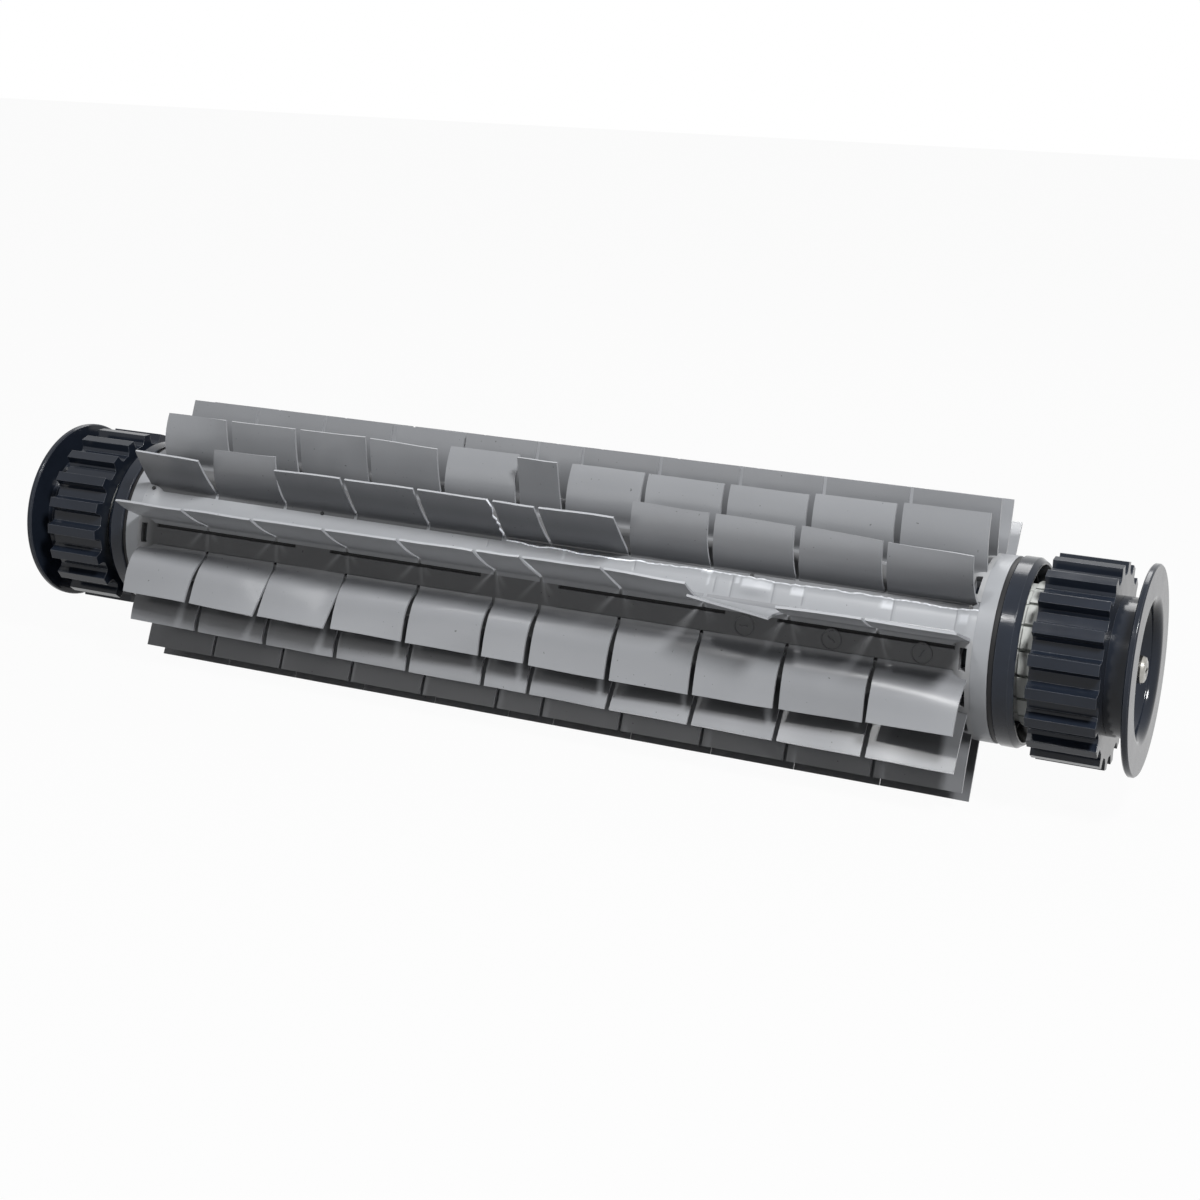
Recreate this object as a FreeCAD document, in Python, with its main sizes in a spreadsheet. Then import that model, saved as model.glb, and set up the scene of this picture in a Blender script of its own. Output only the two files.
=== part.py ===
"""Pool cleaner brush roller: a tube in a moulded finned skin, with a belt pulley and a flange at each end.

The roller's axis is X and the origin is its middle. It lies on the tips of two fin rows, +Z up.
Angles about the axis run from -Y (the front) up to +Z. Sizes are in millimetres and degrees.
"""
import FreeCAD, Part
import math
import os

import Sketcher
from FreeCAD import Placement, Rotation, Vector

SIZES = {
    # fins and skin
    "flap_width": 33.74,
    "middle_flap": 20.06,
    "wide_flaps": 5,
    "fin_rows": 15,
    "fin_length": 22.7,
    "fin_thick": 1.0,
    "fin_sunk": 0.5,
    "bend_radius": 9.0,
    "slit": 1.4,
    "slit_root": 0.25,
    "skin_outer": 33.3,
    "skin_thick": 1.4,
    # windows through skin and tube, pegs' holes and mould rings
    "window_inset": 2.05,
    "window_wide": 2.6,
    "window_arc": 13.9,
    "peg_hole": 0.9,
    "peg_side": 8.0,
    "mould_ring": 4.2,
    "mould_line": 0.45,
    "mould_proud": 0.25,
    # tube
    "tube_wall": 3.0,
    "tube_gap": 0.1,
    "collar": 34.6,
    "collar_length": 7.05,
    "collar_bevel": 1.0,
    "collar_gap": 0.05,
    # plug, neck and brass insert
    "plug_depth": 26.0,
    "plug_wall": 3.0,
    "plug_floor": 4.0,
    "seat_gap": 0.1,
    "neck": 20.0,
    "neck_length": 28.4,
    "insert": 4.0,
    "insert_length": 12.0,
    "insert_pocket": 18.0,
    # seal and guide ring
    "seal": 34.2,
    "seal_wide": 1.8,
    "guide": 35.0,
    "guide_wide": 7.6,
    "guide_web": 1.8,
    "guide_edge": 0.4,
    "guide_slope": 2.0,
    "guide_drop": 1.3,
    "guide_lip": 1.0,
    "guide_dish": 1.6,
    # bearing
    "bearing_gap": 0.08,
    "side_gap": 0.3,
    "bearing_wide": 13.0,
    "bearing_step": 4.9,
    "seat_wide": 5.0,
    "seat": 26.5,
    "bearing_shoulder": 25.3,
    "bearing_notches": 18,
    "notch_wide": 1.2,
    "notch_floor": 24.8,
    "notch_at": -3.0,
    # pulley
    "pulley_wide": 24.8,
    "pulley_inset": 4.8,
    "tooth_root": 33.4,
    "tooth_tip": 37.6,
    "teeth": 20,
    "tooth_land": 4.0,
    "tooth_flank": 5.0,
    "tooth_foot": 6.6,
    "tooth_bend": 1.1,
    "pulley_rim": 5.2,
    "right_tooth_at": 12.1,
    "left_tooth_at": -0.5,
    # outer flange
    "flange": 38.4,
    "flange_thick": 2.4,
    "flange_edge": 0.5,
    "flange_reach": 11.0,
    "hub": 25.4,
    "hub_slope": 1.2,
    "spigot_length": 8.2,
    "cup_mouth": 27.2,
    "cup_lip": 3.5,
    "cup_floor": 20.6,
    "cup_depth": 8.2,
    "boss": 7.5,
    "boss_drop": 5.2,
    # screw and washer
    "screw": 2.5,
    "screw_hole": 0.3,
    "screw_fit": 0.05,
    "screw_length": 30.0,
    "screw_head": 5.0,
    "head_tall": 3.5,
    "head_round": 1.5,
    "crown_step": 0.45,
    "recess_wide": 1.1,
    "recess_reach": 5.2,
    "recess_deep": 1.8,
    "washer": 6.0,
    "washer_thick": 0.8,
}

# Each fin row from the top one round to the front: runs of flaps with the turn of their bend,
# as (first flap, last flap, degrees). A positive turn bends the way that the angles run.
ROWS = [
    [(1, 11, 12)],
    [(1, 11, -5)],
    [(1, 11, -10)],
    [(1, 11, 14)],
    [(1, 11, 26)],
    [(1, 11, 20)],
    [(1, 11, 8)],
    [(1, 11, -5)],
    [(1, 11, 5)],
    [(1, 11, -16)],
    [(1, 11, -30)],
    [(1, 4, -52), (5, 10, -66), (11, 11, -50)],
    [(1, 7, 11), (8, 11, 4)],
    [(1, 1, 12), (2, 2, 38), (3, 7, 10), (8, 10, 52), (11, 11, 34)],
    [(1, 4, 18), (5, 5, 34), (6, 6, 10), (7, 7, 38), (8, 11, 32)],
]
# The seam panel lies above row 12, and the panel with the mould rings above row 11.
SEAM_ROW = 12
MOULD_ROW = 11
MOULD_FLAPS = (3, 4, 5)
PEG_FLAPS = 2.5


class Size:
    """A number together with the sheet expression that it comes from."""

    def __init__(self, text, value):
        self.text = text
        self.value = value

    def _with(self, sign, other, value):
        return Size(f"({self.text} {sign} {size_of(other).text})", value)

    def __add__(self, other):
        return self._with("+", other, self.value + size_of(other).value)

    def __radd__(self, other):
        return size_of(other) + self

    def __sub__(self, other):
        return self._with("-", other, self.value - size_of(other).value)

    def __rsub__(self, other):
        return size_of(other) - self

    def __mul__(self, other):
        return self._with("*", other, self.value * size_of(other).value)

    def __rmul__(self, other):
        return size_of(other) * self

    def __truediv__(self, other):
        return self._with("/", other, self.value / size_of(other).value)

    def __rtruediv__(self, other):
        return size_of(other) / self

    def __neg__(self):
        return Size(f"(0 - {self.text})", -self.value)


def size_of(number):
    return number if isinstance(number, Size) else Size(repr(number), number)


def sine(angle):
    angle = size_of(angle)
    return Size(f"sin({angle.text} * 1 deg)", math.sin(math.radians(angle.value)))


def cosine(angle):
    angle = size_of(angle)
    return Size(f"cos({angle.text} * 1 deg)", math.cos(math.radians(angle.value)))


class Sheet:
    """The driving dimensions: one aliased cell each, read back as Size values."""

    def __init__(self, document, sizes):
        self.cells = document.addObject("Spreadsheet::Sheet", "Sizes")
        for row, (name, value) in enumerate(sizes.items(), start=1):
            self.cells.set(f"A{row}", name)
            self.cells.set(f"B{row}", str(value))
            self.cells.setAlias(f"B{row}", name)
            setattr(self, name, Size(f"Sizes.{name}", value))


def bind(item, path, size):
    item.setExpression(path, size_of(size).text)


def new_body(label):
    body = DOC.addObject("PartDesign::Body", label)
    body.Label = label
    return body


def origin_item(body, role):
    return next(item for item in body.Origin.OriginFeatures if item.Role == role)


def new_sketch(body, name, role="XY_Plane", turn=0, lift=0):
    """A sketch on one of the body's planes, turned about X and then lifted along its normal."""
    sketch = body.newObject("Sketcher::SketchObject", name)
    sketch.AttachmentSupport = (origin_item(body, role), [""])
    sketch.MapMode = "FlatFace"
    crossing = role == "YZ_Plane"
    axis = Vector(0, 0, 1) if crossing else Vector(1, 0, 0)
    sketch.AttachmentOffset = Placement(Vector(), Rotation(axis, size_of(turn).value))
    if isinstance(turn, Size):
        bind(sketch, "AttachmentOffset.Rotation.Angle", turn)
    if crossing:
        bind(sketch, "AttachmentOffset.Base.z", lift)
    elif isinstance(lift, Size):
        bind(sketch, "AttachmentOffset.Base.y", -(lift * sine(turn)))
        bind(sketch, "AttachmentOffset.Base.z", lift * cosine(turn))
    return sketch


def facing(angle):
    """The turn that points a lengthwise sketch's normal out from the axis at an angle."""
    return FRONT_TO_TOP - angle


def hold(sketch, geometry, point, kind, size):
    """Keep one point of a line, arc or circle at a distance from the sketch's origin."""
    size = size_of(size)
    if abs(size.value) < 1e-9:
        axis = -2 if kind == "DistanceX" else -1
        sketch.addConstraint(Sketcher.Constraint("PointOnObject", geometry, point, axis))
        return
    near, far = (-1, 1), (geometry, point)
    if size.value < 0:
        near, far, size = far, near, -size
    index = sketch.addConstraint(Sketcher.Constraint(kind, *near, *far, size.value))
    bind(sketch, f"Constraints[{index}]", size)


def pin(sketch, geometry, point, place):
    for kind, size in zip(("DistanceX", "DistanceY"), place):
        hold(sketch, geometry, point, kind, size)


def draw_loop(sketch, corners, arcs=None):
    """A closed outline through corners; arcs maps a corner's number to the (centre, radius,
    counterclockwise) of the arc that leaves it."""
    arcs = arcs or {}
    ends = []
    middles = []
    for number, corner in enumerate(corners):
        start = Vector(*(size_of(size).value for size in corner))
        stop = Vector(*(size_of(size).value for size in corners[(number + 1) % len(corners)]))
        if number not in arcs:
            index = sketch.addGeometry(Part.LineSegment(start, stop), False)
            ends.append((index, 1, 2))
            continue
        centre, radius, counterclockwise = arcs[number]
        middle = Vector(*(size_of(size).value for size in centre))
        first, last = (start, stop) if counterclockwise else (stop, start)
        angles = [math.atan2(point.y - middle.y, point.x - middle.x) for point in (first, last)]
        circle = Part.Circle(middle, Vector(0, 0, 1), size_of(radius).value)
        index = sketch.addGeometry(Part.ArcOfCircle(circle, *angles), False)
        ends.append((index, 1, 2) if counterclockwise else (index, 2, 1))
        middles.append((index, centre[1]))
    for number, corner in enumerate(corners):
        before = ends[number - 1]
        index, start, _ = ends[number]
        sketch.addConstraint(Sketcher.Constraint("Coincident", before[0], before[2], index, start))
        pin(sketch, index, start, corner)
    for index, height in middles:
        hold(sketch, index, 3, "DistanceY", height)


def draw_circle(sketch, across, along, radius):
    place = Vector(size_of(across).value, size_of(along).value)
    index = sketch.addGeometry(Part.Circle(place, Vector(0, 0, 1), size_of(radius).value), False)
    constraint = sketch.addConstraint(Sketcher.Constraint("Radius", index, size_of(radius).value))
    bind(sketch, f"Constraints[{constraint}]", radius)
    pin(sketch, index, 3, (across, along))


def turned(body, name, corners, arcs=None):
    """A solid turned about X from the outline of its half section, as (along X, radius)."""
    sketch = new_sketch(body, f"{name}_section")
    draw_loop(sketch, corners, arcs)
    solid = body.newObject("PartDesign::Revolution", name)
    solid.Profile = sketch
    solid.ReferenceAxis = (origin_item(body, "X_Axis"), [""])
    solid.Angle = 360
    return solid


def grooved(body, name, sketch, angle=360):
    cut = body.newObject("PartDesign::Groove", name)
    cut.Profile = sketch
    cut.ReferenceAxis = (origin_item(body, "X_Axis"), [""])
    cut.Midplane = True
    bind(cut, "Angle", angle)
    return cut


def padded(body, name, sketch, length):
    solid = body.newObject("PartDesign::Pad", name)
    solid.Profile = sketch
    bind(solid, "Length", length)
    return solid


def pocketed(body, name, sketch, length, reverse=False):
    cut = body.newObject("PartDesign::Pocket", name)
    cut.Profile = sketch
    cut.Reversed = reverse
    bind(cut, "Length", length)
    return cut


def repeated(body, name, feature, count, angle=360):
    pattern = body.newObject("PartDesign::PolarPattern", name)
    pattern.Originals = [feature]
    pattern.Axis = (origin_item(body, "X_Axis"), [""])
    bind(pattern, "Angle", angle)
    bind(pattern, "Occurrences", count)
    body.Tip = pattern
    return pattern


DOC = FreeCAD.newDocument("PoolCleanerBrush")
S = Sheet(DOC, SIZES)

HALF_BRUSH = S.wide_flaps * S.flap_width + S.middle_flap / 2
ROW_STEP = 360 / S.fin_rows
TUBE_OUTER = S.skin_outer - S.skin_thick - S.tube_gap
TUBE_INNER = TUBE_OUTER - S.tube_wall
TUBE_END = HALF_BRUSH + S.collar_gap + S.collar_length
SEAL_END = TUBE_END + S.seal_wide
GUIDE_END = SEAL_END + S.guide_wide
BEARING_START = SEAL_END + S.guide_web + S.side_gap
BEARING_END = BEARING_START + S.bearing_wide
PULLEY_START = GUIDE_END + S.pulley_inset
PULLEY_WEB = BEARING_END + S.side_gap
PULLEY_END = PULLEY_START + S.pulley_wide
NECK_END = SEAL_END + S.neck_length
FLANGE_FACE = PULLEY_END + S.flange_reach
BOSS_FACE = FLANGE_FACE - S.boss_drop
HEAD_SEAT = BOSS_FACE + S.washer_thick
SCREW_TIP = HEAD_SEAT - S.screw_length
NECK_BORE = S.neck + S.seat_gap
FRONT_TO_TOP = 90
# How far a cutting shape runs past the surface that it opens.
PAST = 1.0


def row_angle(number):
    return FRONT_TO_TOP + ROW_STEP * number


def panel_angle(row):
    """The middle of the panel between a row and the next one round."""
    return row_angle(row) + ROW_STEP / 2


def slit_places():
    """The middles of the slits along the roller, from its left end to its right end."""
    half = S.middle_flap / 2
    rights = [half + S.flap_width * number for number in range(SIZES["wide_flaps"])]
    return [-place for place in reversed(rights)] + rights


def flap_start(number):
    """Where flap 1, 2, ... starts along the roller; one past the last gives the far end."""
    places = [-HALF_BRUSH] + slit_places() + [HALF_BRUSH]
    return places[number - 1]


def cut_windows(body, inner, outer):
    """Slots at both ends of each panel between two rows, apart from the seam panel."""
    middle = HALF_BRUSH - S.window_inset
    sketch = new_sketch(body, "window_outline", turn=-panel_angle(SEAM_ROW - 1))
    for side in (-1, 1):
        near = side * middle - S.window_wide / 2
        far = side * middle + S.window_wide / 2
        draw_loop(sketch, [(near, -outer), (far, -outer), (far, -inner), (near, -inner)])
    window = grooved(body, "window", sketch, S.window_arc)
    repeated(body, "windows", window, S.fin_rows - 1, 360 - 2 * ROW_STEP)


def build_tube():
    body = new_body("wheel_tube")
    collar_start = HALF_BRUSH + S.collar_gap
    section = [
        (-TUBE_END, TUBE_INNER),
        (TUBE_END, TUBE_INNER),
        (TUBE_END, S.collar),
        (collar_start + S.collar_bevel, S.collar),
        (collar_start, S.skin_outer),
        (collar_start, TUBE_OUTER),
        (-collar_start, TUBE_OUTER),
        (-collar_start, S.skin_outer),
        (-collar_start - S.collar_bevel, S.collar),
        (-TUBE_END, S.collar),
    ]
    turned(body, "tube", section)
    cut_windows(body, TUBE_INNER - PAST, TUBE_OUTER + PAST)
    return body


def draw_fin(sketch, turn):
    """The section of one flap: it leaves the skin radially, bends, and runs on straight."""
    side = 1 if turn > 0 else -1
    bend = abs(turn)
    half = S.fin_thick / 2
    foot = S.skin_outer - S.fin_sunk
    start = S.skin_outer + S.slit_root
    straight = S.fin_length - S.slit_root - S.bend_radius * bend * math.pi / 180
    centre = (start, side * S.bend_radius)

    def beside(offset, run):
        """A point of the bent part, offset to the outside of the bend, run past its end."""
        reach = S.bend_radius + offset
        along = start + reach * sine(bend) + run * cosine(bend)
        across = S.bend_radius - reach * cosine(bend) + run * sine(bend)
        return along, side * across

    corners = [
        (foot, -side * half),
        (start, -side * half),
        beside(half, 0),
        beside(half, straight),
        beside(-half, straight),
        beside(-half, 0),
        (start, side * half),
        (foot, side * half),
    ]
    arcs = {
        1: (centre, S.bend_radius + half, side > 0),
        5: (centre, S.bend_radius - half, side < 0),
    }
    draw_loop(sketch, corners, arcs)


def cut_slits(body):
    sketch = new_sketch(body, "slit_outline")
    inner = S.skin_outer + S.slit_root
    outer = S.skin_outer + S.fin_length + PAST
    for place in slit_places():
        near = place - S.slit / 2
        far = place + S.slit / 2
        draw_loop(sketch, [(near, inner), (far, inner), (far, outer), (near, outer)])
    grooved(body, "slits", sketch)


def drill_peg_holes(body):
    """Small holes along the seam, under the row above it."""
    angle = panel_angle(SEAM_ROW) + S.peg_side
    sketch = new_sketch(body, "peg_hole_outline", turn=facing(angle), lift=S.skin_outer + PAST)
    for place in (HALF_BRUSH - S.window_inset, HALF_BRUSH - S.flap_width * PEG_FLAPS):
        for side in (-1, 1):
            draw_circle(sketch, side * place, 0, S.peg_hole)
    pocketed(body, "peg_holes", sketch, S.skin_thick + 2 * PAST)


def raise_mould_rings(body):
    """Three plain rings that the mould left on one panel."""
    turn = facing(panel_angle(MOULD_ROW))
    sketch = new_sketch(body, "mould_ring_outline", turn=turn, lift=S.skin_outer - S.skin_thick / 2)
    for flap in MOULD_FLAPS:
        place = S.middle_flap / 2 + S.flap_width * flap - S.flap_width / 2
        draw_circle(sketch, place, 0, S.mould_ring)
        draw_circle(sketch, place, 0, S.mould_ring - S.mould_line)
    padded(body, "mould_rings", sketch, S.skin_thick / 2 + S.mould_proud)


def build_brush():
    body = new_body("brush_skin")
    inner = S.skin_outer - S.skin_thick
    section = [
        (-HALF_BRUSH, inner),
        (HALF_BRUSH, inner),
        (HALF_BRUSH, S.skin_outer),
        (-HALF_BRUSH, S.skin_outer),
    ]
    turned(body, "skin", section)
    for row, runs in enumerate(ROWS):
        for first, last, turn in runs:
            start = flap_start(first)
            name = f"fins_{row:02d}_{first:02d}"
            sketch = new_sketch(body, f"{name}_section", "YZ_Plane", 180 - row_angle(row), start)
            draw_fin(sketch, -turn)
            padded(body, name, sketch, flap_start(last + 1) - start)
    cut_slits(body)
    raise_mould_rings(body)
    drill_peg_holes(body)
    cut_windows(body, inner - PAST, S.skin_outer + PAST)
    return body


def build_plug(side):
    """The hidden plug in the tube's end, with the neck that carries everything outside it."""
    body = new_body(f"tube_plug_{side}")
    barrel = TUBE_INNER - S.seat_gap
    floor = TUBE_END - S.plug_floor
    pocket = NECK_END - S.insert_pocket
    insert_hole = S.insert + S.seat_gap
    section = [
        (TUBE_END - S.plug_depth, barrel - S.plug_wall),
        (TUBE_END - S.plug_depth, barrel),
        (SEAL_END, barrel),
        (SEAL_END, S.neck),
        (NECK_END, S.neck),
        (NECK_END, insert_hole),
        (pocket, insert_hole),
        (pocket, 0),
        (floor, 0),
        (floor, barrel - S.plug_wall),
    ]
    turned(body, "plug", section)
    return body


def build_insert(side):
    body = new_body(f"threaded_insert_{side}")
    bore = S.screw + S.screw_fit
    start = NECK_END - S.insert_length
    turned(body, "insert", [(start, bore), (NECK_END, bore), (NECK_END, S.insert), (start, S.insert)])
    return body


def build_seal(side):
    body = new_body(f"seal_ring_{side}")
    bore = TUBE_INNER
    turned(body, "seal", [(TUBE_END, bore), (SEAL_END, bore), (SEAL_END, S.seal), (TUBE_END, S.seal)])
    return body


def build_guide_ring(side):
    body = new_body(f"guide_ring_{side}")
    web_end = SEAL_END + S.guide_web
    lip_outer = S.guide - S.guide_drop
    lip_inner = lip_outer - S.guide_lip
    section = [
        (SEAL_END, NECK_BORE),
        (SEAL_END, S.guide - S.guide_edge),
        (SEAL_END + S.guide_edge, S.guide),
        (GUIDE_END - S.guide_slope, S.guide),
        (GUIDE_END, lip_outer),
        (GUIDE_END, lip_inner),
        (web_end, lip_inner - S.guide_dish),
        (web_end, NECK_BORE),
    ]
    turned(body, "ring", section)
    return body


def build_bearing(side):
    """The white ring that the cleaner's side plate holds; the neck turns inside it."""
    body = new_body(f"bearing_{side}")
    bore = S.neck + S.bearing_gap
    step = BEARING_START + S.bearing_step
    land_end = step + S.seat_wide
    section = [
        (BEARING_START, bore),
        (BEARING_START, S.bearing_shoulder),
        (step, S.bearing_shoulder),
        (step, S.seat),
        (land_end, S.seat),
        (land_end, S.bearing_shoulder),
        (BEARING_END, S.bearing_shoulder),
        (BEARING_END, bore),
    ]
    turned(body, "ring", section)
    sketch = new_sketch(body, "notch_outline", "YZ_Plane", facing(S.notch_at), BEARING_START)
    half = S.notch_wide / 2
    top = S.seat + PAST
    draw_loop(sketch, [(-half, S.notch_floor), (half, S.notch_floor), (half, top), (-half, top)])
    notch = pocketed(body, "notch", sketch, land_end - BEARING_START, reverse=True)
    repeated(body, "notches", notch, S.bearing_notches)
    return body


def build_pulley(side):
    body = new_body(f"drive_pulley_{side}")
    cup = S.tooth_root - S.pulley_rim
    section = [
        (PULLEY_START, cup),
        (PULLEY_START, S.tooth_root),
        (PULLEY_END, S.tooth_root),
        (PULLEY_END, NECK_BORE),
        (PULLEY_WEB, NECK_BORE),
        (PULLEY_WEB, cup),
    ]
    turned(body, "wheel", section)
    # The left end is turned about Z, so its angles run the other way round.
    tooth_at = S.right_tooth_at if side == "right" else -S.left_tooth_at
    sketch = new_sketch(body, "tooth_section", "YZ_Plane", facing(tooth_at), PULLEY_START)
    foot = S.tooth_root - PAST
    bend = S.tooth_root + S.tooth_bend
    levels = [
        (S.tooth_foot, foot),
        (S.tooth_foot, S.tooth_root),
        (S.tooth_flank, bend),
        (S.tooth_land, S.tooth_tip),
    ]
    right = [(width / 2, radius) for width, radius in levels]
    left = [(-width / 2, radius) for width, radius in reversed(levels)]
    draw_loop(sketch, right + left)
    tooth = padded(body, "tooth", sketch, S.pulley_wide)
    repeated(body, "toothing", tooth, S.teeth)
    return body


def build_flange(side):
    """The outer flange: a spigot in the pulley, a hub, and a cup that sinks the screw."""
    body = new_body(f"outer_flange_{side}")
    back = FLANGE_FACE - S.flange_thick
    rim = S.flange - S.flange_edge
    hole = S.screw + S.screw_hole
    lip_centre = (FLANGE_FACE - S.cup_lip, S.cup_mouth)
    section = [
        (NECK_END + S.side_gap, hole),
        (NECK_END + S.side_gap, S.neck),
        (PULLEY_END, S.neck),
        (PULLEY_END, S.hub),
        (back - S.hub_slope, S.hub),
        (back, S.hub + S.hub_slope),
        (back, rim),
        (back + S.flange_edge, S.flange),
        (FLANGE_FACE - S.flange_edge, S.flange),
        (FLANGE_FACE, rim),
        (FLANGE_FACE, S.cup_mouth),
        (FLANGE_FACE - S.cup_lip, S.cup_mouth - S.cup_lip),
        (FLANGE_FACE - S.cup_depth, S.cup_floor),
        (FLANGE_FACE - S.cup_depth, S.boss),
        (BOSS_FACE, S.boss),
        (BOSS_FACE, hole),
    ]
    turned(body, "flange", section, {10: (lip_centre, S.cup_lip, False)})
    return body


def build_washer(side):
    body = new_body(f"washer_{side}")
    bore = S.screw + S.screw_hole
    turned(body, "washer", [(BOSS_FACE, bore), (HEAD_SEAT, bore), (HEAD_SEAT, S.washer), (BOSS_FACE, S.washer)])
    return body


def build_screw(side):
    body = new_body(f"screw_{side}")
    crown = HEAD_SEAT + S.head_tall
    section = [
        (SCREW_TIP, 0),
        (SCREW_TIP + S.screw / 2, S.screw),
        (HEAD_SEAT, S.screw),
        (HEAD_SEAT, S.screw_head),
        (crown - S.head_round, S.screw_head),
        (crown - S.crown_step, S.screw_head - S.crown_step),
        (crown, S.screw_head - S.head_round),
        (crown, 0),
    ]
    turned(body, "screw", section)
    reach = S.recess_reach / 2
    half = S.recess_wide / 2
    sketch = new_sketch(body, "recess_outline", "YZ_Plane", lift=crown)
    draw_loop(sketch, [
        (-reach, -half), (-half, -half), (-half, -reach), (half, -reach),
        (half, -half), (reach, -half), (reach, half), (half, half),
        (half, reach), (-half, reach), (-half, half), (-reach, half),
    ])
    pocketed(body, "recess", sketch, S.recess_deep)
    return body


END_PIECES = (
    build_plug, build_insert, build_seal, build_guide_ring, build_bearing,
    build_pulley, build_flange, build_washer, build_screw,
)


def build_ends():
    """The right end, and the same pieces turned about Z for the left end."""
    pieces = []
    for side, turn in (("right", 0), ("left", 180)):
        for build in END_PIECES:
            body = build(side)
            body.Placement = Placement(Vector(), Rotation(Vector(0, 0, 1), turn))
            pieces.append(body)
    return pieces


def check(document, bodies):
    document.recompute()
    failed = [item.Label for item in document.Objects if {"Invalid", "Error"} & set(item.State)]
    if failed:
        raise RuntimeError(f"features failed: {failed}")
    for body in bodies:
        if body.Shape.isNull() or not body.Shape.isValid():
            raise RuntimeError(f"bad shape: {body.Label}")
        if len(body.Shape.Solids) != 1:
            raise RuntimeError(f"{body.Label} has {len(body.Shape.Solids)} solids")


def export(bodies):
    os.makedirs("parts", exist_ok=True)
    for body in bodies:
        body.Shape.exportStep(f"parts/{body.Label}.step")


BODIES = [build_tube(), build_brush()] + build_ends()
check(DOC, BODIES)
export(BODIES)
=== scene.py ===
"""Looks of the pool cleaner brush: soft finned skin, materials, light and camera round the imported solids."""

import math
import random

import bpy
import numpy as np
from mathutils import Matrix, Vector


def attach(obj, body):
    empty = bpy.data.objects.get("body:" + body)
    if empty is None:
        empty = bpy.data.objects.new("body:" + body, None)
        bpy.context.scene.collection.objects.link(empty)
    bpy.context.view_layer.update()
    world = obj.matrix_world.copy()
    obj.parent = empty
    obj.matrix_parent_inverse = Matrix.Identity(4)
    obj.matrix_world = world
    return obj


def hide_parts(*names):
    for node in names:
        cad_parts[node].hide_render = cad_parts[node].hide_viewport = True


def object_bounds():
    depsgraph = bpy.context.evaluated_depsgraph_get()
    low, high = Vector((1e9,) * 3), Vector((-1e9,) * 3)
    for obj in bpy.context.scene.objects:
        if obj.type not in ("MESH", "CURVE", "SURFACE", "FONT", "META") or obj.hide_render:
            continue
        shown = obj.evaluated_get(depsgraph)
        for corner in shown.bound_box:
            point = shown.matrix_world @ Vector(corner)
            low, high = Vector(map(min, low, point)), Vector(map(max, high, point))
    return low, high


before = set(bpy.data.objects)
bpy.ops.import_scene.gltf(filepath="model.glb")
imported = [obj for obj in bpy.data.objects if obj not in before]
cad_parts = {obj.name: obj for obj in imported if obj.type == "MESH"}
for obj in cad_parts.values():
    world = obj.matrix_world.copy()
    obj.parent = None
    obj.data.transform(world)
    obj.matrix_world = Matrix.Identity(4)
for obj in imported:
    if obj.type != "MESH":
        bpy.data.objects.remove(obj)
cad_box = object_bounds()
MM = 0.001

# Sizes shared with the solids, in millimetres.
SKIN = 33.3
SKIN_THICK = 1.4
FLAP = 33.74
MIDDLE_FLAP = 20.06
HALF = 5 * FLAP + MIDDLE_FLAP / 2
ROWS = 15
STEP = 360 / ROWS
FIN = 22.7
SLIT = 1.4
WINDOW_INSET = 2.05
WINDOW_WIDE = 2.6
WINDOW_ARC = 13.9
EDGES = [-HALF + FLAP * k for k in range(5)] + [-MIDDLE_FLAP / 2, MIDDLE_FLAP / 2]
EDGES += [MIDDLE_FLAP / 2 + FLAP * k for k in range(1, 6)]


def row_angle(row):
    """Angle of a fin row's root, from -Y up to +Z. Row 0 is on top and the rows run over the back."""
    return 90 + STEP * row


def place(x, radius, angle):
    a = math.radians(angle)
    return (x, -radius * math.cos(a), radius * math.sin(a))


# ---- flaps: (radius, angle past the root) of both tip corners, left then right

# The angle in degrees from which an edge between two faces is sharp.
SHARP_FROM = 38


def same(radius, turn, count=11):
    """A run of flaps that all stand alike."""
    return [(radius, turn, radius, turn)] * count


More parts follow.
